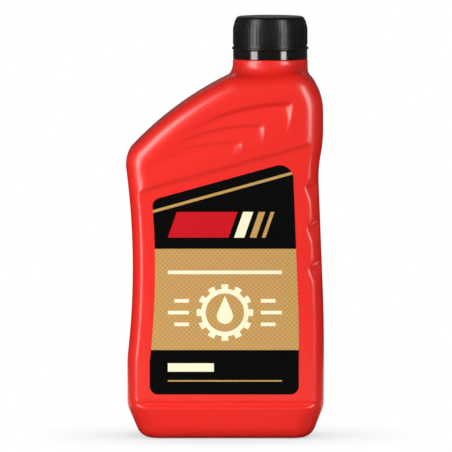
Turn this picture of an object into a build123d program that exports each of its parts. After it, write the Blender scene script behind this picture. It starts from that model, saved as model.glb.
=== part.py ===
from build123d import *
import os
from math import radians, tan

# Motor oil bottle, one quart, with an offset neck and a screw cap that leaves its tamper band behind.
# Sizes are in millimetres and degrees. The front faces -Y and the base rests on Z = 0.

# Body outline, seen from the front
body_width = 107.8
body_depth = 58.0
edge_radius = 11.0  # rounding between the two faces and the sides
heel_height = 18.0  # below this line the sides draw in towards the base
heel_taper = 22.0  # at the sides
heel_front_taper = 11.0
heel_softening = 14.0  # radius that softens the heel line on the sides
base_corner = 14.0  # rounding of the base, seen from below
base_shift = 0.35  # the base lies this far to the right of the heel line
base_radius = 9.0
foot_setback = 0.8  # left side below the waist, in from the widest point
waist_depth = 3.75
waist_low = 43.0
waist_middle = 92.0
waist_softening = 25.0
shoulder_corner = 153.7  # height of the left shoulder's corner, before it is rounded
shoulder_overhang = 0.65  # how far that sharp corner stands out from the widest point
shoulder_radius = 13.5
shoulder_bow = 182.0  # radius of the bowed slope up to the neck
shoulder_top = 197.8
crown_rise = 3.0  # climb of the shoulder under the neck, from left to right
slope_end_radius = 20.0
crown_radius = 14.0  # rounding right of the neck
right_shoulder = 184.5
right_shoulder_inset = 0.5
right_shoulder_radius = 25.0
bulge_low = 161.5
bulge_radius = 70.0
hollow_height = 147.0
hollow_depth = 3.2
hollow_radius = 60.0
right_foot = 66.0
right_foot_radius = 600.0

# Blown wall and what is inside it
wall = 0.95
push_up = 2.5  # hollow under the base, which leaves a ring to stand on
stand_ring = 6.0
push_up_taper = 45.0
push_up_corner = 6.0
oil_gap = 0.3
fill_level = 185.0

# Label panel, sunk into the front and the back
panel_depth = 1.6
panel_low = 18.6
panel_middle = 146.5  # height of the slanted crease at the middle of the bottle
panel_slant = 15.5
panel_ledge = 1.3  # run of the ledge above the heel
panel_crease = 2.6  # run of the wall under the crease
label_margin = 13.0
label_shift = -0.75
label_foot = 6.0
label_head = 5.1
label_radius = 4.5
label_high_radius = 7.5  # at the higher of its two top corners
label_thickness = 0.15

# Shoulder flutes: how far in from the right side the top edge ends, its height, and the drop and depth there
flutes = [(16.9, 184.0, 19.2, 1.8), (31.5, 172.6, 12.8, 1.6), (44.1, 163.0, 7.6, 1.2)]
flute_bow = 104.0
flute_rise = 2.5  # the top edge still climbs a little to the left of its right end
flute_hook = 0.24  # the right end leans in by this share of its height
flute_draft = 62.0

# Finger notches on the right corner
notch_tops = [139.0, 116.8, 94.7]
notch_depth = 2.1
notch_height = 8.0
notch_slant = 16.0
notch_undercut = 0.7  # rise of the upper wall for each unit of its depth
notch_lip = 1.0  # how far the cutter stands out of the corner

# Neck finish
neck_inset = 8.85  # neck root, in from the right side
neck_root_radius = 20.35
neck_root_height = 8.1
neck_blend = 8.5
finish_diameter = 35.0
finish_height = 20.7
mouth_diameter = 31.0
mouth_rounding = 0.6
thread_depth = 1.0
bead_height = 2.1  # lower edge of the bead that holds the tamper band, above the neck root
bead_band = 1.5

# Cap, liner and tamper band
cap_clearance = 0.45
cap_wall = 1.1
cap_top = 1.5
cap_flange = 0.5
cap_flange_height = 1.3
cap_flange_rounding = 0.4
crown_start = 6.5  # the cap starts to draw in this far below its top
crown_inset = 1.7
crown_softening = 12.0
crown_edge = 2.1
rib_count = 60
rib_height = 0.3
rib_width = 1.2
rib_gap = 1.6  # plain strip between the flange and the ribs
seat_taper = 4.0  # height over which the bore draws in to the liner's seat
liner_thickness = 1.0
liner_clearance = 0.25
band_height = 4.5
band_seat = 0.2
band_wall = 1.3
band_lip = 1.2
band_slit = 0.5
nib_count = 12
nib_width = 1.0
nib_height = 0.3

# Values that follow from the sizes above
half_width = body_width / 2
half_depth = body_depth / 2
neck_offset = half_width - neck_inset - neck_root_radius
neck_root_top = shoulder_top + neck_root_height
mouth_height = neck_root_top + finish_height
finish_radius = finish_diameter / 2
crest_radius = finish_radius + thread_depth
cap_bore = crest_radius + cap_clearance
cap_valley = cap_bore + cap_wall
seat_radius = finish_radius + cap_clearance
cap_crest = cap_valley + rib_height
band_bottom = neck_root_top + band_seat
band_top = band_bottom + band_height
cap_bottom = band_top + band_slit
cap_ceiling = mouth_height + liner_thickness
cap_height = cap_ceiling + cap_top
rise = tan(radians(panel_slant))
front = Plane.XZ.offset(half_depth)
neck_line = Axis((neck_offset, 0, 0), (0, 0, 1))


def body_outline(inset):
    """Front outline of the body above the heel line, drawn in by inset on every side but the lowest."""
    foot = heel_height - inset
    heel_left = (foot_setback - half_width, foot)
    waist_start = (foot_setback - half_width, waist_low)
    waist = (waist_depth - half_width, waist_middle)
    left_corner = (-half_width - shoulder_overhang, shoulder_corner)
    neck_left = (neck_offset - neck_root_radius, shoulder_top)
    neck_right = (neck_offset + neck_root_radius, shoulder_top + crown_rise)
    right_corner = (half_width - right_shoulder_inset, right_shoulder)
    bulge = (half_width - right_shoulder_inset, bulge_low)
    hollow = (half_width - hollow_depth, hollow_height)
    right_side = (half_width, right_foot)
    heel_right = (half_width, foot)
    softened = [
        (waist_start, waist_softening),
        (left_corner, shoulder_radius),
        (neck_left, slope_end_radius),
        (neck_right, crown_radius),
        (right_corner, right_shoulder_radius),
        (bulge, bulge_radius),
        (hollow, hollow_radius),
        (right_side, right_foot_radius),
    ]
    with BuildSketch() as outline:
        with BuildLine():
            Polyline(heel_right, heel_left, waist_start)
            ThreePointArc(waist_start, waist, left_corner)
            RadiusArc(left_corner, neck_left, shoulder_bow)
            Polyline(neck_left, neck_right, right_corner, bulge, hollow, right_side, heel_right)
        make_face()
        for corner, radius in softened:
            fillet(outline.vertices().sort_by_distance(corner)[0], radius)
        if inset:
            offset(amount=-inset, mode=Mode.REPLACE)
    # the sides again, as plain lines and arcs
    with BuildSketch() as drawn_in:
        with BuildLine():
            for side in outline.edges():
                if side.geom_type == GeomType.LINE:
                    Line(side @ 0, side @ 1)
                else:
                    ThreePointArc(side @ 0, side @ 0.5, side @ 1)
        make_face()
    return drawn_in.sketch


def panel_cutter(inset):
    """Sunk label panel on the front: a flat floor with a slanted crease above and a ledge below."""
    with BuildPart() as cutter:
        for out, plane in ((0, front.offset(-inset - panel_depth)), (1, front.offset(-inset))):
            low = panel_low - panel_ledge * out
            middle = panel_middle + panel_crease * out
            with BuildSketch(plane):
                with BuildLine():
                    Polyline(
                        (-body_width, low),
                        (body_width, low),
                        (body_width, middle + body_width * rise),
                        (-body_width, middle - body_width * rise),
                        close=True,
                    )
                make_face()
        loft()
    return cutter.part


def flute_cutter(end_inset, top, height, depth, inset):
    """One swept flute: deepest under its bowed top edge and running out to nothing at its foot."""
    x = half_width - end_inset
    corner = (x, top)
    foot = (x - flute_hook * height, top - height)
    drop = flute_bow - height
    tail = (x - flute_rise - (flute_bow**2 - drop**2) ** 0.5, top - height)
    hook_radius = height * (1 + flute_hook**2) / (2 * flute_hook)
    surface = front.offset(-inset)
    floor_start = surface.from_local_coords((0, top - height, 0))
    floor_normal = (0, -height, depth)
    with BuildPart() as cutter:
        with BuildSketch(surface):
            with BuildLine():
                RadiusArc(tail, corner, flute_bow)
                RadiusArc(corner, foot, hook_radius)
                Line(foot, tail)
            make_face()
        extrude(amount=-depth, taper=flute_draft)
        split(bisect_by=Plane(floor_start, x_dir=(1, 0, 0), z_dir=floor_normal), keep=Keep.TOP)
    return cutter.part


def notch_cutter(top, inset):
    """One finger notch on the front right corner, scooped out under a slanted upper edge."""
    lean = hollow_depth * (top - right_foot) / (hollow_height - right_foot)
    outward = Vector(1, -1, 0).normalized()
    along = Vector(1, 1, 0).normalized().rotate(Axis((0, 0, 0), outward), notch_slant)
    corner_centre = Vector(half_width - lean - edge_radius, edge_radius - half_depth, top)
    corner = corner_centre + outward * (edge_radius - inset)
    lip_fall = notch_height * (1 + notch_lip / notch_depth)
    lip_rise = notch_undercut * (notch_depth + notch_lip)
    with BuildPart() as cutter:
        with BuildSketch(Plane(corner, x_dir=outward, z_dir=-along)):
            with BuildLine():
                Polyline((-notch_depth, 0), (notch_lip, lip_rise), (notch_lip, -lip_fall), close=True)
            make_face()
        extrude(amount=edge_radius, both=True)
    return cutter.part


def bottle_form(inset):
    """Blown form of the bottle up to the neck root, drawn in by inset all over."""
    neck_radius = neck_root_radius - inset
    with BuildPart() as form:
        # slab with rounded edges
        with BuildSketch(Plane.XZ):
            add(body_outline(inset))
        extrude(amount=half_depth - inset, both=True)
        rims = form.faces().filter_by(Axis.Y).edges()
        fillet(rims.filter_by(lambda rim: rim.center().Z > heel_height + wall), edge_radius - inset)
        # heel, drawn in to the base
        heel_top = form.faces().sort_by(Axis.Z)[0]
        heel = heel_top.bounding_box()
        drop = 2 * (heel_height - inset)
        base_width = heel.size.X - drop * tan(radians(heel_taper))
        base_depth = heel.size.Y - drop * tan(radians(heel_front_taper))
        with BuildSketch(Plane.XY.offset(inset), mode=Mode.PRIVATE) as base:
            with Locations((heel.center().X + base_shift, 0)):
                RectangleRounded(base_width, base_depth, base_corner - inset)
        loft([heel_top, base.sketch.face()])
        heel_line = form.edges().filter_by_position(Axis.Z, heel_height - wall / 2, heel_height + wall / 2)
        fillet(heel_line, heel_softening)
        fillet(form.faces().sort_by(Axis.Z)[0].edges(), base_radius - inset)
        # neck root, blended into the shoulders
        with Locations((neck_offset, 0, shoulder_top - edge_radius)):
            Cylinder(
                neck_radius,
                edge_radius + neck_root_height - 2 * inset,
                align=(Align.CENTER, Align.CENTER, Align.MIN),
            )
        neck_side = (neck_offset, neck_radius, neck_root_top)
        neck_wall = form.faces().filter_by(GeomType.CYLINDER).sort_by_distance(neck_side)[0]
        root = neck_wall.edges().filter_by(GeomType.LINE, reverse=True).sort_by(Axis.Z)[:-1]
        fillet(root, neck_blend + inset)
        # hollow under the base
        flat = form.faces().sort_by(Axis.Z)[0].bounding_box()
        with BuildSketch(Plane.XY.offset(inset)):
            with Locations(flat.center()):
                RectangleRounded(flat.size.X - 2 * stand_ring, flat.size.Y - 2 * stand_ring, push_up_corner)
        extrude(amount=push_up, taper=push_up_taper, mode=Mode.SUBTRACT)
        # relief, the same on the front and the back
        relief = [panel_cutter(inset)]
        relief += [flute_cutter(*flute, inset) for flute in flutes]
        relief += [notch_cutter(top, inset) for top in notch_tops]
        relief += [mirror(cutter, about=Plane.XZ, mode=Mode.PRIVATE) for cutter in relief]
        add(relief, mode=Mode.SUBTRACT)
    return form.part


def cap_profile(radius):
    """Half section of the closed cap, with the given radius at its side."""
    with BuildSketch() as profile:
        with BuildLine():
            Polyline(
                (neck_offset, cap_bottom),
                (neck_offset + radius, cap_bottom),
                (neck_offset + radius, cap_height - crown_start),
                (neck_offset + radius - crown_inset, cap_height),
                (neck_offset, cap_height),
                close=True,
            )
        make_face()
        crown_foot = (neck_offset + radius, cap_height - crown_start)
        fillet(profile.vertices().sort_by_distance(crown_foot)[0], crown_softening)
        fillet(profile.vertices().sort_by_distance((neck_offset + radius, cap_height))[0], crown_edge)
    return profile.sketch


# Bottle: one blown shell with an open mouth
with BuildPart() as bottle:
    add(bottle_form(0))
    add(bottle_form(wall), mode=Mode.SUBTRACT)
    with Locations((neck_offset, 0, neck_root_top - 2 * wall)):
        Cylinder(finish_radius, finish_height + 2 * wall, align=(Align.CENTER, Align.CENTER, Align.MIN))
        Cylinder(
            mouth_diameter / 2,
            finish_height + 2 * wall,
            align=(Align.CENTER, Align.CENTER, Align.MIN),
            mode=Mode.SUBTRACT,
        )
    fillet(bottle.faces().sort_by(Axis.Z)[-1].edges(), mouth_rounding)
    with BuildSketch(Plane.XZ):
        bead_low = neck_root_top + bead_height
        with BuildLine():
            Polyline(
                (neck_offset + finish_radius - mouth_rounding, bead_low),
                (neck_offset + crest_radius, bead_low),
                (neck_offset + finish_radius - mouth_rounding, bead_low + bead_band),
                close=True,
            )
        make_face()
    revolve(axis=neck_line)
bottle.part.label = "bottle"

# Oil: the fill, standing just inside the wall
with BuildPart() as oil:
    add(bottle_form(wall + oil_gap))
    split(bisect_by=Plane.XY.offset(fill_level), keep=Keep.BOTTOM)
oil.part.label = "oil"

# Front label: a film on the floor of the front panel
with BuildPart() as front_label:
    with BuildSketch(front.offset(-panel_depth)) as label_face:
        with Locations((label_shift, 0)):
            add(body_outline(label_margin))
        low = panel_low + label_foot
        middle = panel_middle - label_head
        with BuildLine():
            Polyline(
                (-body_width, low),
                (body_width, low),
                (body_width, middle + body_width * rise),
                (-body_width, middle - body_width * rise),
                close=True,
            )
        make_face(mode=Mode.INTERSECT)
        high_left = (label_margin - half_width, middle - half_width * rise)
        fillet(label_face.vertices().sort_by(Axis.Y)[:2], label_radius)
        fillet(label_face.vertices().sort_by_distance(high_left)[0], label_radius)
        fillet(label_face.vertices().sort_by(Axis.Y)[-1], label_high_radius)
    extrude(amount=label_thickness)
front_label.part.label = "front_label"

# Cap ribs: the cap's outer form at rib height, kept only where the ribs stand
with BuildPart() as cap_ribs:
    with BuildSketch(Plane.XZ):
        add(cap_profile(cap_crest))
    revolve(axis=neck_line)
    rib_start = cap_bottom + cap_flange_height + rib_gap
    rib_reach = crown_inset + 3 * rib_height
    with BuildSketch(Plane.XY.offset(rib_start)):
        with Locations((neck_offset, 0)):
            with PolarLocations(cap_crest - rib_reach / 2, rib_count):
                Rectangle(2 * rib_reach, rib_width)
    extrude(amount=cap_height - crown_edge - rib_start, mode=Mode.INTERSECT)

# Cap: a closed top on a ribbed skirt with a flange at its mouth
with BuildPart() as cap:
    with BuildSketch(Plane.XZ):
        add(cap_profile(cap_valley))
    revolve(axis=neck_line)
    with Locations((neck_offset, 0, cap_bottom)):
        Cylinder(cap_crest + cap_flange, cap_flange_height, align=(Align.CENTER, Align.CENTER, Align.MIN))
    flange_rims = cap.edges().filter_by(GeomType.CIRCLE).filter_by(lambda rim: rim.radius > cap_crest)
    fillet(flange_rims, cap_flange_rounding)
    add(cap_ribs.part)
    with BuildSketch(Plane.XZ):
        with BuildLine():
            Polyline(
                (neck_offset, cap_bottom),
                (neck_offset + cap_bore, cap_bottom),
                (neck_offset + cap_bore, cap_ceiling - seat_taper),
                (neck_offset + seat_radius, cap_ceiling),
                (neck_offset, cap_ceiling),
                close=True,
            )
        make_face()
    revolve(axis=neck_line, mode=Mode.SUBTRACT)
cap.part.label = "cap"

# Cap liner: the disc that seals on the mouth
with BuildPart() as cap_liner:
    with Locations((neck_offset, 0, mouth_height)):
        Cylinder(
            seat_radius - liner_clearance,
            liner_thickness,
            align=(Align.CENTER, Align.CENTER, Align.MIN),
        )
cap_liner.part.label = "cap_liner"

# Tamper band: a ring that a lip holds under the bead, with the stubs of its broken bridges on top
with BuildPart() as tamper_band:
    band_bore = crest_radius + cap_clearance
    with BuildSketch(Plane.XZ):
        with BuildLine():
            Polyline(
                (neck_offset + finish_radius + cap_clearance, band_bottom),
                (neck_offset + band_bore + band_wall, band_bottom),
                (neck_offset + band_bore + band_wall, band_top),
                (neck_offset + band_bore, band_top),
                (neck_offset + band_bore, band_bottom + band_lip),
                (neck_offset + finish_radius + cap_clearance, band_bottom + band_lip / 2),
                close=True,
            )
        make_face()
    revolve(axis=neck_line)
    with BuildSketch(Plane.XY.offset(band_top)):
        with Locations((neck_offset, 0)):
            with PolarLocations(band_bore + band_wall / 2, nib_count):
                Rectangle(band_wall / 2, nib_width)
    extrude(amount=nib_height)
tamper_band.part.label = "tamper_band"

os.makedirs("parts", exist_ok=True)
for piece in (bottle, oil, front_label, cap, cap_liner, tamper_band):
    export_step(piece.part, f"parts/{piece.part.label}.step")
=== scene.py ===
from math import copysign, cos, hypot, pi, radians, sin, sqrt, tan

import bmesh
import bpy
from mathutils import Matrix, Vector
from mathutils.bvhtree import BVHTree


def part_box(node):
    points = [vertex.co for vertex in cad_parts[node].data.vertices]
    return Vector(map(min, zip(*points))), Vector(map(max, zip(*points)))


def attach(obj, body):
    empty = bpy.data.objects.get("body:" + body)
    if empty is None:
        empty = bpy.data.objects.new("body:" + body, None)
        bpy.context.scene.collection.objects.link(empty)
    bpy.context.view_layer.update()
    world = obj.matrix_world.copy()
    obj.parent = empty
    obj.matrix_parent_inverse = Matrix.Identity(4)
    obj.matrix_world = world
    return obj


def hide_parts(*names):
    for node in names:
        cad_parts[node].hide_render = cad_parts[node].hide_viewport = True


# Motor oil bottle: its blown skin, threads, parting line and finishes, on a white studio floor.
# Sizes are in millimetres, and MM turns them into the frame's metres.

MM = 0.001

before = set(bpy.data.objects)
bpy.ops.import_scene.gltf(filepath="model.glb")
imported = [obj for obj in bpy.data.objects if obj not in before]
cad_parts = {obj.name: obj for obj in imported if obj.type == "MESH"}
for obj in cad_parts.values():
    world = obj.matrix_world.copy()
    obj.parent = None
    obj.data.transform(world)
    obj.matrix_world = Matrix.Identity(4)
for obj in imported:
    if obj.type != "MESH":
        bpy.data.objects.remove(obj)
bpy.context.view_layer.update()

cap_low, cap_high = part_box("cap")
neck_x = (cap_low.x + cap_high.x) / 2 / MM
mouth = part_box("bottle")[1].z / MM
right_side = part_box("bottle")[1].x / MM

# Blown skin
SKIN_VOXEL = 0.7
SKIN_SMOOTHING = 2
SKIN_KEPT = 0.48  # share of the skin's triangles that is kept where it is flat
SMOOTHING_FACTOR = 0.5
WELD = 0.002
SEAM_HALF_WIDTH = 0.45
SEAM_HEIGHT = 0.08
SEAM_SINK = 0.05
SEAM_FOOT = 4.0  # the ridge is cut away below this height, so that the bottle stands flat

# Shoulder flutes, blown a little deeper than the solid has them. Each has how far in from the right side
# its top edge ends, the height there, the drop of its right end, and the added depth.
FLUTES = ((16.9, 184.0, 19.2, 0.8), (31.5, 172.6, 12.8, 0.8), (44.1, 163.0, 7.6, 0.75))
FLUTE_BOW = 104.0
FLUTE_RISE = 2.5  # the top edge still climbs a little to the left of its right end
FLUTE_HOOK = 0.24  # the right end leans in by this share of its height
FLUTE_WALL = 2.8  # from the top edge down to the deepest line
FLUTE_FLOOR = 10.0  # from there to where nothing is added
FLUTE_END = (1.0, 5.0)  # from the right end to full depth
FLUTE_TAIL = (24.0, 62.0)  # and to where it dies away
LEAST_WALL = 0.15  # left under a flute at its deepest
FACE_SHARE = 0.75  # share of the half depth beyond which a point lies on the front or the back

# Label panels: their soft sides, and the fine groove along their foot, above the heel
PANEL_HALF_WIDTH = 40.5
PANEL_LOW = 22.0
PANEL_HIGH = 143.0  # at the middle of the bottle
PANEL_SMOOTHING = 14
GROOVE_HEIGHT = 19.4
GROOVE_HALF_WIDTH = 1.2
GROOVE_DEPTH = 0.5

# Neck finish
BAND_SEAT = 0.2  # the tamper band stands this far above the neck's ledge
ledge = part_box("tamper_band")[0].z / MM - BAND_SEAT
NECK_HOLE = 16.8
FINISH_RADIUS = 17.5
FINISH_FOOT = 1.0  # the finish flares this far where it stands on the ledge
FINISH_FLARE_TOP = 0.1  # above the ledge, half way in from the flare
BORE_RADIUS = 15.5
BORE_DROP = 1.9  # the bore's lower edge, below the ledge
LIP_ROUNDING = 0.6
LIP_BEND = 0.3  # share of the rounding at which its middle point lies
BEAD_RADIUS = 18.5
BEAD_LOW = 2.1  # above the ledge
BEAD_HIGH = 3.6
BEAD_CHAMFER = (0.15, 0.2)  # in and up, at the bead's lower edge
BEAD_RUN_OUT = (0.1, 0.4)  # out and up, where the bead's upper slope meets the wall
FINISH_SEGMENTS = 128

# Torn edge of the tamper band
NIB_HEIGHT = 0.3  # the band's nibs stand this far above its top
TEAR_HEIGHT = 0.38  # the torn edge stands this far into the slit under the cap
TEAR_SETBACK = 0.2
TEAR_WIDTH = 0.8
TEAR_UPRIGHT = 0.6  # share of the height up to which its outside is upright
TEAR_LEAN = 0.4  # share of the height by which its top lies further in

# Threads of the neck and the cap
THREAD_LEAD = 8.4
THREAD_STARTS = 2
THREAD_TURN = 340.0  # degrees that each start winds
THREAD_RUN_OUT = 24.0  # degrees over which an end dies away
THREAD_STEP = 4.0
THREAD_LOW = 7.3  # the neck thread's lowest end, above the ledge
THREAD_HEIGHT = 0.95
THREAD_FOOT = 1.05  # half width of the ridge at its foot
THREAD_CREST = 0.4
THREAD_SINK = 0.1  # share of its height by which the ridge's foot is sunk into the wall
CAP_BORE = 18.95
CAP_THREAD_HEIGHT = 1.2

# Label print, with heights above the floor and places across from the middle of the bottle
PRINT_EDGE = 0.12
PRINT_HALF_WIDTH = 31.0
GOLD_FIELD = (48.8, 103.9)
WEAVE_PITCH = 2.6
TOP_SLANT = tan(radians(15.5))
STRIPE_LOW = 134.2  # slanted stripe under the top edge
STRIPE_WIDTH = 1.6
BAR_LOW = 110.0
BAR_HIGH = 124.0
BAR_LEAN = 0.35
RED_BAR = (-PRINT_HALF_WIDTH, 2.0)
CREAM_BAR = (5.0, 10.5)
WIDE_GOLD_BAR = (13.5, 17.0)
NARROW_GOLD_BAR = (20.0, 22.0)
RULE = (90.1, 92.1)
COG_HEIGHT = 69.2
COG_HOLE = 10.4
COG_RIM = 13.0
COG_TOOTH = 2.4
COG_TEETH = 12
COG_FLANK = 2.0  # how steeply the teeth's sides stand
DROP_RADIUS = 4.4
DROP_LOWERED = 1.8
DROP_FLANK = (0.917, 0.4)  # across and up, the way that the sides of the drop's tip face
LINE_COUNT = 3
LINE_PITCH = 6.4
LINE_WIDTH = 2.0
LINE_START = 19.5
LINE_SHORTENED = 3.5  # for each line away from the middle one
FOOT_RULE = (31.6, 32.4)
FOOT_BAR = (37.0, 41.6)
FOOT_BAR_END = -6.0

# Colours, as pairs of shades where a finish varies
WHITE = (1, 1, 1, 1)
BLACK = (0, 0, 0, 1)
RED_SHADES = ((0.89, 0.009, 0.002, 1), (0.94, 0.012, 0.004, 1))
CAP_SHADES = ((0.006, 0.006, 0.006, 1), (0.011, 0.011, 0.011, 1))
BAND_SHADES = ((0.005, 0.004, 0.004, 1), (0.010, 0.008, 0.008, 1))
FOAM_SHADES = ((0.72, 0.71, 0.66, 1), (0.88, 0.87, 0.83, 1))
OIL_SHADES = ((0.36, 0.13, 0.012, 1), (0.52, 0.22, 0.03, 1))
WOVEN_GOLD = ((0.47, 0.27, 0.075, 1), (0.64, 0.40, 0.15, 1))
BLACK_INK = (0.003, 0.003, 0.003, 1)
GOLD_INK = (0.56, 0.34, 0.11, 1)
RED_INK = (0.60, 0.010, 0.018, 1)
CREAM_INK = (0.97, 0.93, 0.67, 1)

# Camera
PHOTO_PIXELS = 452
MM_PER_PIXEL = 0.5455
CAMERA_LENS = 800.0
CAMERA_SENSOR = 36.0
CAMERA_ELEVATION = 3.8
VIEW_CENTRE = (0.6, 0.0, 114.5)

# Studio
HEEL_MIDDLE = (0.6, 0.0, 9.0)
ROOM_FILL = 0.06
LAMP_COLOUR = (1.0, 0.97, 0.94)
BACKDROP_BACK = 0.93  # the white backdrop starts at this share of straight back
BACKDROP_LOW = 0.22  # and at this share of straight up
BACKDROP_FADE = 0.03
FLOOR_SIZE = 3000.0
FLOOR_BOUNCE = (0.62, 0.62, 0.62, 1)
SHADOW_REACH = 60.0
SHADOW_SAMPLES = 16
SHADOW_GREY = (0.6, 0.6, 0.6, 1)
SWEEP_LENGTH = 500.0  # gloss shows the floor's white behind the bottle, to this length
SWEEP_HALF_WIDTH = 250.0
SWEEP_FADE = 60.0


class Field:
    """A value that varies over a surface. Arithmetic on it adds Math nodes to its tree."""

    def __init__(self, nodes, socket):
        self.nodes = nodes
        self.socket = socket

    def maths(self, operation, *values, clamp=False):
        settings = {"operation": operation, "use_clamp": clamp}
        return self.nodes.add("ShaderNodeMath", settings, dict(enumerate(values)))

    def __add__(self, other):
        return self.maths("ADD", self, other)

    def __radd__(self, other):
        return self.maths("ADD", other, self)

    def __sub__(self, other):
        return self.maths("SUBTRACT", self, other)

    def __rsub__(self, other):
        return self.maths("SUBTRACT", other, self)

    def __mul__(self, other):
        return self.maths("MULTIPLY", self, other)

    def __rmul__(self, other):
        return self.maths("MULTIPLY", other, self)

    def __truediv__(self, other):
        return self.maths("DIVIDE", self, other)

    def __pow__(self, other):
        return self.maths("POWER", self, other)

    def __abs__(self):
        return self.maths("ABSOLUTE", self)

    def least(self, other):
        return self.maths("MINIMUM", self, other)

    def most(self, other):
        return self.maths("MAXIMUM", self, other)

    def floor(self):
        return self.maths("FLOOR", self)

    def cosine(self):
        return self.maths("COSINE", self)

    def angle(self, across):
        """Angle of the point at this height and that far across."""
        return self.maths("ARCTAN2", self, across)

    def clamped(self):
        return self.maths("ADD", self, 0.0, clamp=True)


class Nodes:
    """A node tree whose nodes all come from one method."""

    def __init__(self, owner):
        owner.use_nodes = True
        self.tree = owner.node_tree

    def add(self, kind, settings, inputs, output=0):
        """Adds one node: its settings first, then the values or links of its sockets."""
        node = self.tree.nodes.new(kind)
        for name, value in settings.items():
            setattr(node, name, value)
        for name, value in inputs.items():
            if isinstance(value, Field):
                self.tree.links.new(value.socket, node.inputs[name])
            else:
                node.inputs[name].default_value = value
        return Field(self, node.outputs[output])

    def axis(self, place, name):
        """One coordinate of a place."""
        return self.add("ShaderNodeSeparateXYZ", {}, {0: place}, name)

    def ray(self, kind):
        """1 for light paths of that kind, as Light Path names them."""
        return self.add("ShaderNodeLightPath", {}, {}, f"Is {kind} Ray")

    def mix(self, mask, under, over):
        """Colour over where mask is 1, and under where it is 0."""
        return self.add("ShaderNodeMix", {"data_type": "RGBA"}, {0: mask, 6: under, 7: over}, 2)

    def shade(self, output, shader):
        """Makes shader the surface that the named output shows."""
        self.tree.links.new(shader.socket, self.tree.nodes[output].inputs["Surface"])


class Finish(Nodes):
    """A material of one Principled shader, with places on the piece in millimetres."""

    def __init__(self, name, **constants):
        self.material = bpy.data.materials.new(name)
        super().__init__(self.material)
        self.shader = self.tree.nodes["Principled BSDF"]
        for socket, value in constants.items():
            self.shader.inputs[socket.replace("_", " ")].default_value = value
        here = self.add("ShaderNodeTexCoord", {}, {}, "Object")
        self.place = self.add("ShaderNodeVectorMath", {"operation": "SCALE"}, {0: here, "Scale": 1 / MM})

    def noise(self, size, detail=2.0):
        """Noise whose features are about size millimetres across."""
        inputs = {"Vector": self.place, "Scale": 1 / size, "Detail": detail}
        return self.add("ShaderNodeTexNoise", {}, inputs)

    def rounded(self, radius):
        """Normal that rounds off the edges of the mesh."""
        return self.add("ShaderNodeBevel", {"samples": 6}, {"Radius": radius * MM})

    def bump(self, height, depth, normal=None):
        """Normal for a relief of that depth in millimetres."""
        inputs = {"Distance": depth * MM, "Height": height}
        if normal:
            inputs["Normal"] = normal
        return self.add("ShaderNodeBump", {}, inputs)

    def feed(self, **fields):
        """Links fields to the shader's sockets, and gives the material."""
        for socket, field in fields.items():
            self.tree.links.new(field.socket, self.shader.inputs[socket.replace("_", " ")])
        return self.material


def red_polyethylene():
    """Blown red plastic: satin, with a faint orange peel and the slow waves of a thin blown wall."""
    red = Finish("red_polyethylene", IOR=1.55, Coat_Weight=1.0, Coat_Roughness=0.24)
    cloud = red.noise(size=38.0, detail=3.0)
    grain = red.noise(size=0.9)
    wave = red.noise(size=26.0, detail=1.0)
    colour = red.mix(cloud, *RED_SHADES)
    waved = red.bump(wave, depth=0.35)
    skin = red.bump(grain, depth=0.015, normal=waved)
    return red.feed(Base_Color=colour, Roughness=0.42 + 0.06 * cloud + 0.04 * grain, Normal=skin)


def black_cap_plastic():
    """Moulded black plastic with a fine spark-eroded grain."""
    black = Finish("black_cap_plastic", IOR=1.46)
    cloud = black.noise(size=9.0, detail=3.0)
    grain = black.noise(size=0.35, detail=1.0)
    colour = black.mix(cloud, *CAP_SHADES)
    skin = black.bump(grain, depth=0.015, normal=black.rounded(0.15))
    return black.feed(Base_Color=colour, Roughness=0.24 + 0.08 * cloud, Normal=skin)


def black_band_plastic():
    """The same black, glossier on the smooth tamper band."""
    black = Finish("black_band_plastic", IOR=1.5, Coat_Weight=1.0, Coat_Roughness=0.1)
    cloud = black.noise(size=6.0)
    colour = black.mix(cloud, *BAND_SHADES)
    return black.feed(Base_Color=colour, Roughness=0.1 + 0.06 * cloud, Normal=black.rounded(0.2))


def foamed_liner():
    """White foamed disc with a pored face."""
    foam = Finish("foamed_liner", IOR=1.45)
    pores = foam.noise(size=0.6, detail=3.0)
    colour = foam.mix(pores, *FOAM_SHADES)
    return foam.feed(Base_Color=colour, Roughness=0.6 + 0.2 * pores, Normal=foam.bump(pores, depth=0.05))


def amber_oil():
    """Clear amber oil, which shows only as a dark surface down the neck."""
    oil = Finish("amber_oil", IOR=1.47, Roughness=0.06)
    return oil.feed(Base_Color=oil.mix(oil.noise(size=45.0), *OIL_SHADES))


def edge(distance):
    """1 inside a printed edge, 0 outside, from the distance into the print in millimetres."""
    return (distance / PRINT_EDGE + 0.5).clamped()


def between(value, low, high):
    """1 where a value lies between two printed edges."""
    return edge((value - low).least(high - value))


def leaning_bars(x, z):
    """Masks of the red, the cream and the gold bars, which lean to the right."""
    lean = x - (z - BAR_LOW) * BAR_LEAN
    height = between(z, BAR_LOW, BAR_HIGH)
    gold_bars = between(lean, *WIDE_GOLD_BAR) + between(lean, *NARROW_GOLD_BAR)
    return between(lean, *RED_BAR) * height, between(lean, *CREAM_BAR) * height, gold_bars * height


def cog(x, rise):
    """Mask of a toothed ring, from the place across and above its middle."""
    reach = (x * x + rise * rise) ** 0.5
    teeth = edge((rise.angle(x) * COG_TEETH).cosine() * COG_FLANK)
    return edge(COG_RIM + teeth * COG_TOOTH - reach) * edge(reach - COG_HOLE)


def drop(x, rise):
    """Mask of a drop: a ball with a straight-sided tip above it."""
    across, up = DROP_FLANK
    ball = DROP_RADIUS - (x * x + rise * rise) ** 0.5
    sides = DROP_RADIUS - (abs(x) * across + rise * up)
    tip = sides.least(rise - up * DROP_RADIUS)
    return edge(ball.most(tip))


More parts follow.
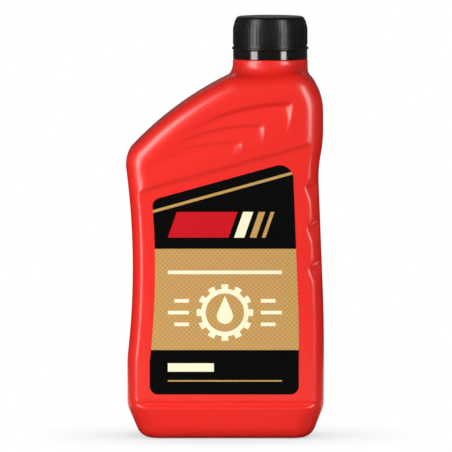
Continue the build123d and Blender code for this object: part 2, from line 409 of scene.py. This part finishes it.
def side_lines(x, rise):
    """Mask of the lines on both sides of the cog, of which the middle one is the longest."""
    line = (rise / LINE_PITCH + LINE_COUNT / 2).floor().least(LINE_COUNT - 1).most(0)
    from_middle = line - (LINE_COUNT - 1) / 2
    off_line = abs(rise - from_middle * LINE_PITCH)
    end = PRINT_HALF_WIDTH - abs(from_middle) * LINE_SHORTENED
    return edge(LINE_WIDTH / 2 - off_line) * between(abs(x), LINE_START, end)


def printed_film():
    """Label print: black round a gold field of fine diamonds, with plain bars and a drop in a cog."""
    film = Finish("printed_film", IOR=1.5, Specular_IOR_Level=0.3)
    x = film.axis(film.place, "X")
    z = film.axis(film.place, "Z")
    width = between(x, -PRINT_HALF_WIDTH, PRINT_HALF_WIDTH)
    # gold field, woven of two waves
    turn = 2 * pi / WEAVE_PITCH
    weave = (z * turn).cosine() * (x * turn).cosine() * 0.5 + 0.5
    gold_field = between(z, *GOLD_FIELD)
    # marks in each ink
    red_bar, cream_bar, gold_bars = leaning_bars(x, z)
    stripe = between(z - x * TOP_SLANT, STRIPE_LOW, STRIPE_LOW + STRIPE_WIDTH)
    foot_rule = between(z, *FOOT_RULE) * width
    gold_marks = (stripe + gold_bars + foot_rule).clamped()
    rule = between(z, *RULE) * width
    rise = z - COG_HEIGHT
    cog_marks = cog(x, rise) + drop(x, rise + DROP_LOWERED) + side_lines(x, rise)
    foot_bar = between(z, *FOOT_BAR) * between(x, -PRINT_HALF_WIDTH, FOOT_BAR_END)
    cream_marks = (cream_bar + rule + cog_marks + foot_bar).clamped()
    colour = film.mix(gold_field, BLACK_INK, film.mix(weave, *WOVEN_GOLD))
    colour = film.mix(gold_marks, colour, GOLD_INK)
    colour = film.mix(red_bar, colour, RED_INK)
    colour = film.mix(cream_marks, colour, CREAM_INK)
    # slow waves where the film was stretched
    stretch = film.noise(size=16.0)
    waved = film.bump(stretch, depth=0.12)
    return film.feed(Base_Color=colour, Roughness=0.2 + 0.08 * stretch + 0.1 * gold_field, Normal=waved)


def lathe(form, profile):
    """Adds a surface of revolution about the neck to form, from (radius, height) points."""
    rings = []
    for radius, height in profile:
        turns = (2 * pi * step / FINISH_SEGMENTS for step in range(FINISH_SEGMENTS))
        ring = [(neck_x + radius * cos(turn), radius * sin(turn), height) for turn in turns]
        rings.append([form.verts.new(Vector(point) * MM) for point in ring])
    for lower, upper in zip(rings, rings[1:]):
        for step in range(FINISH_SEGMENTS):
            following = (step + 1) % FINISH_SEGMENTS
            form.faces.new((lower[step], lower[following], upper[following], upper[step]))


def new_piece(name, form, finish):
    """Object of that name from a bmesh, smooth shaded."""
    mesh = bpy.data.meshes.new(name)
    form.to_mesh(mesh)
    form.free()
    mesh.polygons.foreach_set("use_smooth", [True] * len(mesh.polygons))
    piece = bpy.data.objects.new(name, mesh)
    bpy.context.scene.collection.objects.link(piece)
    mesh.materials.append(finish)
    return piece


def connected(start):
    """All vertices that edges join to start."""
    found = {start}
    front = [start]
    while front:
        vertex = front.pop()
        for side in vertex.link_edges:
            other = side.other_vert(vertex)
            if other not in found:
                found.add(other)
                front.append(other)
    return found


def shaped(form, changes):
    """Form after Blender's own modifiers, given as kinds and settings."""
    blank = new_piece("blown_blank", form, None)
    for kind, settings in changes:
        change = blank.modifiers.new(kind, kind)
        for name, value in settings.items():
            setattr(change, name, value)
    mesh = bpy.data.meshes.new_from_object(blank.evaluated_get(bpy.context.evaluated_depsgraph_get()))
    bpy.data.objects.remove(blank)
    result = bmesh.new()
    result.from_mesh(mesh)
    bpy.data.meshes.remove(mesh)
    return result


def ramp(value, start, end):
    """Smooth climb from 0 at start to 1 at end."""
    share = min(1.0, max(0.0, (value - start) / (end - start)))
    return share * share * (3 - 2 * share)


def flute_depth(x, z, end_inset, top, height, depth):
    """Depth that one flute adds at a place on the face."""
    end = right_side - end_inset
    centre_z = top - sqrt(FLUTE_BOW**2 - FLUTE_RISE**2)
    below = FLUTE_BOW - hypot(x - end + FLUTE_RISE, z - centre_z)
    if not 0 < below < FLUTE_WALL + FLUTE_FLOOR:
        return 0.0
    hook = height * (1 + FLUTE_HOOK**2) / (2 * FLUTE_HOOK)
    fall = min(height, max(0.0, top - z))
    left = end - hook + sqrt(hook**2 - fall**2) - x
    upper = ramp(below, 0, FLUTE_WALL)
    lower = 1 - ramp(below, FLUTE_WALL, FLUTE_WALL + FLUTE_FLOOR)
    return depth * upper * lower * ramp(left, *FLUTE_END) * (1 - ramp(left, *FLUTE_TAIL))


def sink_relief(skin, inner):
    """Sinks the flutes and the groove of the front and the back, short of the inner wall."""
    face = FACE_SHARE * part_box("bottle")[1].y
    inside = BVHTree.FromBMesh(inner)
    for vertex in skin.verts:
        if abs(vertex.co.y) > face:
            x, z = vertex.co.x / MM, vertex.co.z / MM
            sunk = sum(flute_depth(x, z, *flute) for flute in FLUTES)
            off_groove = abs(z - GROOVE_HEIGHT)
            sunk += GROOVE_DEPTH * (1 - ramp(off_groove, 0, GROOVE_HALF_WIDTH))
            if sunk > 0:
                outwards = copysign(1, vertex.co.y)
                wall = inside.ray_cast(vertex.co, (0, -outwards, 0))[3]
                if wall:
                    sunk = min(sunk, max(0.0, wall / MM - LEAST_WALL))
                vertex.co.y -= outwards * sunk * MM


def soften_panel_sides(skin):
    """Rounds the label panels' sides, where they run into the bottle's rounded edges."""
    beside = []
    for vertex in skin.verts:
        x, z = vertex.co.x / MM, vertex.co.z / MM
        if abs(x) > PANEL_HALF_WIDTH and PANEL_LOW < z < PANEL_HIGH + x * TOP_SLANT:
            beside.append(vertex)
    every_way = {"use_axis_x": True, "use_axis_y": True, "use_axis_z": True}
    for _ in range(PANEL_SMOOTHING):
        bmesh.ops.smooth_vert(skin, verts=beside, factor=SMOOTHING_FACTOR, **every_way)


def blown_walls():
    """The bottle's outer wall, remeshed with a blown form's soft edges, and its inner wall as it is."""
    outer = bmesh.new()
    outer.from_mesh(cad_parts["bottle"].data)
    bmesh.ops.remove_doubles(outer, verts=outer.verts, dist=WELD * MM)
    finish_low = (ledge - WELD) * MM
    finish_faces = [face for face in outer.faces if face.calc_center_median().z > finish_low]
    bmesh.ops.delete(outer, geom=finish_faces, context="FACES")
    inner = outer.copy()
    for wall, kept_outer in ((outer, True), (inner, False)):
        outside = connected(min(wall.verts, key=lambda vertex: vertex.co.z))
        dropped = [vertex for vertex in wall.verts if (vertex in outside) != kept_outer]
        bmesh.ops.delete(wall, geom=dropped, context="VERTS")
    bmesh.ops.holes_fill(outer, edges=[side for side in outer.edges if side.is_boundary])
    remesh = ("REMESH", {"mode": "VOXEL", "voxel_size": SKIN_VOXEL * MM})
    smooth = ("SMOOTH", {"factor": SMOOTHING_FACTOR, "iterations": SKIN_SMOOTHING})
    skin = shaped(outer, [remesh, smooth])
    sink_relief(skin, inner)
    soften_panel_sides(skin)
    return shaped(skin, [("DECIMATE", {"ratio": SKIN_KEPT})]), inner


def parting_line(walls, finish):
    """Fine ridge where the mould's halves met, round the bottle in its middle plane."""
    cut = walls.copy()
    everything = cut.verts[:] + cut.edges[:] + cut.faces[:]
    middle_plane = {"plane_co": (0, 0, 0), "plane_no": (0, 1, 0)}
    line = bmesh.ops.bisect_plane(cut, geom=everything, **middle_plane)["geom_cut"]
    cut.normal_update()
    across = Vector((0, SEAM_HALF_WIDTH * MM, 0))
    ridge = bmesh.new()
    placed = {}
    for vertex in line:
        if isinstance(vertex, bmesh.types.BMVert) and vertex.co.z > SEAM_FOOT * MM:
            crest = vertex.co + vertex.normal * SEAM_HEIGHT * MM
            foot = vertex.co - vertex.normal * SEAM_SINK * MM
            placed[vertex] = [ridge.verts.new(point) for point in (foot - across, crest, foot + across)]
    for side in line:
        if isinstance(side, bmesh.types.BMEdge) and all(vertex in placed for vertex in side.verts):
            start, end = (placed[vertex] for vertex in side.verts)
            for near, far in ((0, 1), (1, 2), (2, 0)):
                ridge.faces.new((start[near], start[far], end[far], end[near]))
    cut.free()
    bmesh.ops.recalc_face_normals(ridge, faces=ridge.faces)
    return new_piece("parting_line", ridge, finish)


def open_neck(walls):
    """Cuts the hole for the neck's finish into the top of the outer wall."""
    neck_top = []
    for face in walls.faces:
        centre = face.calc_center_median() / MM
        if centre.z > ledge - BORE_DROP and (centre.x - neck_x) ** 2 + centre.y**2 < NECK_HOLE**2:
            neck_top.append(face)
    bmesh.ops.delete(walls, geom=neck_top, context="FACES")


def join(walls, inner_wall):
    """Adds the inner wall to the outer one."""
    inside = bpy.data.meshes.new("inner_wall")
    inner_wall.to_mesh(inside)
    inner_wall.free()
    walls.from_mesh(inside)
    bpy.data.meshes.remove(inside)


def neck_finish():
    """Profile of the neck above the ledge: foot, bead for the band, lip and bore."""
    chamfer_in, chamfer_up = BEAD_CHAMFER
    run_out, run_up = BEAD_RUN_OUT
    bend = LIP_BEND * LIP_ROUNDING
    flare = FINISH_RADIUS + FINISH_FOOT
    return [
        (flare, ledge - LIP_ROUNDING),
        (FINISH_RADIUS + FINISH_FOOT / 2, ledge + FINISH_FLARE_TOP),
        (FINISH_RADIUS, ledge + LIP_ROUNDING),
        (FINISH_RADIUS, ledge + BEAD_LOW),
        (BEAD_RADIUS - chamfer_in, ledge + BEAD_LOW),
        (BEAD_RADIUS, ledge + BEAD_LOW + chamfer_up),
        (FINISH_RADIUS + run_out, ledge + BEAD_HIGH),
        (FINISH_RADIUS, ledge + BEAD_HIGH + run_up),
        (FINISH_RADIUS, mouth - LIP_ROUNDING),
        (FINISH_RADIUS - bend, mouth - bend),
        (FINISH_RADIUS - LIP_ROUNDING, mouth),
        (BORE_RADIUS + LIP_ROUNDING, mouth),
        (BORE_RADIUS + bend, mouth - bend),
        (BORE_RADIUS, mouth - LIP_ROUNDING),
        (BORE_RADIUS, ledge - BORE_DROP),
        (flare, ledge - BORE_DROP),
        (flare, ledge - LIP_ROUNDING),
    ]


def torn_edge():
    """Profile of the thin edge on top of the tamper band."""
    band_low, band_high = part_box("tamper_band")
    top = band_high.z / MM - NIB_HEIGHT
    outside = (band_high.x - band_low.x) / 2 / MM - TEAR_SETBACK
    return [
        (outside - TEAR_WIDTH, top),
        (outside, top),
        (outside, top + TEAR_UPRIGHT * TEAR_HEIGHT),
        (outside - TEAR_LEAN * TEAR_HEIGHT, top + TEAR_HEIGHT),
        (outside - TEAR_WIDTH, top),
    ]


def thread(name, root_radius, height, low, finish):
    """Helical ridges about the neck, dying away at both ends. A negative height stands inwards."""
    ridge = bmesh.new()
    steps = round(THREAD_TURN / THREAD_STEP)
    foot = root_radius - THREAD_SINK * height
    for start in range(THREAD_STARTS):
        sections = []
        for step in range(steps + 1):
            wound = step * THREAD_STEP
            fade = min(1.0, wound / THREAD_RUN_OUT, (THREAD_TURN - wound) / THREAD_RUN_OUT)
            turn = radians(wound + start * 360.0 / THREAD_STARTS)
            middle = low + THREAD_LEAD * wound / 360.0
            crest = root_radius + height * fade
            profile = (
                (foot, -THREAD_FOOT),
                (crest, -THREAD_CREST),
                (crest, THREAD_CREST),
                (foot, THREAD_FOOT),
            )
            section = [(neck_x + r * cos(turn), r * sin(turn), middle + rise) for r, rise in profile]
            sections.append([ridge.verts.new(Vector(point) * MM) for point in section])
        for here, ahead in zip(sections, sections[1:]):
            for near in range(len(here)):
                far = (near + 1) % len(here)
                ridge.faces.new((here[near], here[far], ahead[far], ahead[near]))
        ridge.faces.new(sections[0])
        ridge.faces.new(sections[-1])
    bmesh.ops.recalc_face_normals(ridge, faces=ridge.faces)
    return new_piece(name, ridge, finish)


def white_floor():
    """Floor that shows white with a soft shadow, and throws less light back up."""
    material = bpy.data.materials.new("white_floor")
    floor = Nodes(material)
    here = floor.add("ShaderNodeTexCoord", {}, {}, "Object")
    aside = floor.axis(here, "X") / MM
    depth = floor.axis(here, "Y") / MM
    inside = depth.least(SWEEP_LENGTH - depth).least(SWEEP_HALF_WIDTH - abs(aside))
    sweep = (inside / SWEEP_FADE).clamped()
    reach = {"Distance": SHADOW_REACH * MM}
    openness = floor.add("ShaderNodeAmbientOcclusion", {"samples": SHADOW_SAMPLES}, reach, "AO")
    shaded = floor.mix(openness, SHADOW_GREY, WHITE)
    glossy = floor.ray("Glossy")
    colour = floor.mix(glossy * (1 - sweep), shaded, BLACK)
    shown = floor.add("ShaderNodeEmission", {}, {"Color": colour})
    bounce = floor.add("ShaderNodeBsdfDiffuse", {}, {"Color": FLOOR_BOUNCE})
    seen = floor.ray("Camera").most(floor.ray("Transmission")).most(glossy)
    surface = floor.add("ShaderNodeMixShader", {}, {0: seen, 1: bounce, 2: shown})
    floor.shade("Material Output", surface)
    return material


def white_studio():
    """Room that shows white, with a white backdrop high behind the bottle and little light of its own."""
    world = bpy.data.worlds.new("white_studio")
    room = Nodes(world)
    here = room.add("ShaderNodeTexCoord", {}, {}, "Generated")
    back = room.axis(here, "Y") - BACKDROP_BACK
    up = room.axis(here, "Z") - BACKDROP_LOW
    backdrop = (back.least(up) / BACKDROP_FADE).clamped()
    seen = room.ray("Camera").most(room.ray("Transmission")).most(room.ray("Glossy") * backdrop)
    fill = room.add("ShaderNodeBackground", {}, {"Color": WHITE, "Strength": ROOM_FILL})
    white = room.add("ShaderNodeBackground", {}, {"Color": WHITE})
    surface = room.add("ShaderNodeMixShader", {}, {0: seen, 1: fill, 2: white})
    room.shade("World Output", surface)
    return world


def aimed(item, target, away, distance):
    """Lamp or camera as an object that looks at target from that distance."""
    stand = bpy.data.objects.new(item.name, item)
    stand.location = (Vector(target) + away * distance) * MM
    stand.rotation_euler = away.to_track_quat("Z", "Y").to_euler()
    bpy.context.scene.collection.objects.link(stand)
    return stand


def softbox(name, target, azimuth, elevation, distance, width, height, watts):
    """Rectangular lamp aimed at target. Azimuth 0 is in front, and 90 to the right."""
    lamp = bpy.data.lights.new(name, "AREA")
    lamp.shape = "RECTANGLE"
    lamp.size = width * MM
    lamp.size_y = height * MM
    lamp.energy = watts
    lamp.color = LAMP_COLOUR
    turn, tilt = radians(azimuth), radians(elevation)
    away = Vector((sin(turn) * cos(tilt), -cos(turn) * cos(tilt), sin(tilt)))
    return aimed(lamp, target, away, distance)


# Bottle: outer and inner wall, with the neck's finish turned on top
red = red_polyethylene()
walls, inner_wall = blown_walls()
seam = parting_line(walls, red)
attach(seam, "bottle")

open_neck(walls)
join(walls, inner_wall)
lathe(walls, neck_finish())
bottle_skin = new_piece("bottle_skin", walls, red)
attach(bottle_skin, "bottle")
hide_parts("bottle")

neck_thread = thread("neck_thread", FINISH_RADIUS, THREAD_HEIGHT, ledge + THREAD_LOW, red)
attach(neck_thread, "bottle")

# Cap thread: half a pitch above the neck's, so that the two pass each other
black_cap = black_cap_plastic()
half_pitch = THREAD_LEAD / THREAD_STARTS / 2
cap_thread_low = ledge + THREAD_LOW + half_pitch
cap_thread = thread("cap_thread", CAP_BORE, -CAP_THREAD_HEIGHT, cap_thread_low, black_cap)
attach(cap_thread, "cap")

# Torn edge on top of the tamper band, where its thin web to the cap gave way
black_band = black_band_plastic()
tear_form = bmesh.new()
lathe(tear_form, torn_edge())
band_tear = new_piece("band_tear", tear_form, black_band)
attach(band_tear, "bottle")

# Finishes of the nodes that stay as they are
for node, finish in (
    ("cap", black_cap),
    ("tamper_band", black_band),
    ("front_label", printed_film()),
    ("cap_liner", foamed_liner()),
    ("oil", amber_oil()),
):
    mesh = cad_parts[node].data
    mesh.materials.clear()
    mesh.materials.append(finish)

# Floor and room
floor_form = bmesh.new()
bmesh.ops.create_grid(floor_form, x_segments=1, y_segments=1, size=FLOOR_SIZE * MM)
new_piece("floor", floor_form, white_floor())
bpy.context.scene.world = white_studio()

# Lamps: two that show as bright lines along the bottle, and two that only light it
softbox(
    "left_softbox", VIEW_CENTRE, azimuth=-49, elevation=19, distance=520, width=200, height=580, watts=2.3
)
softbox(
    "right_softbox", VIEW_CENTRE, azimuth=43, elevation=19, distance=800, width=230, height=580, watts=3.1
)
back_softbox = softbox(
    "back_softbox", VIEW_CENTRE, azimuth=180, elevation=8, distance=800, width=400, height=400, watts=4.3
)
low_fill = softbox(
    "low_fill", HEEL_MIDDLE, azimuth=0, elevation=3, distance=150, width=200, height=20, watts=0.036
)
for hidden in (back_softbox, low_fill):
    hidden.visible_glossy = False
    hidden.visible_camera = False

# Camera at the photograph's viewing angle and scale
camera_data = bpy.data.cameras.new("photo_camera")
camera_data.lens = CAMERA_LENS
camera_data.sensor_width = CAMERA_SENSOR
camera_tilt = radians(CAMERA_ELEVATION)
camera_side = Vector((0, -cos(camera_tilt), sin(camera_tilt)))
camera_distance = PHOTO_PIXELS * MM_PER_PIXEL * CAMERA_LENS / CAMERA_SENSOR
bpy.context.scene.camera = aimed(camera_data, VIEW_CENTRE, camera_side, camera_distance)
bpy.context.scene.view_settings.view_transform = "Standard"
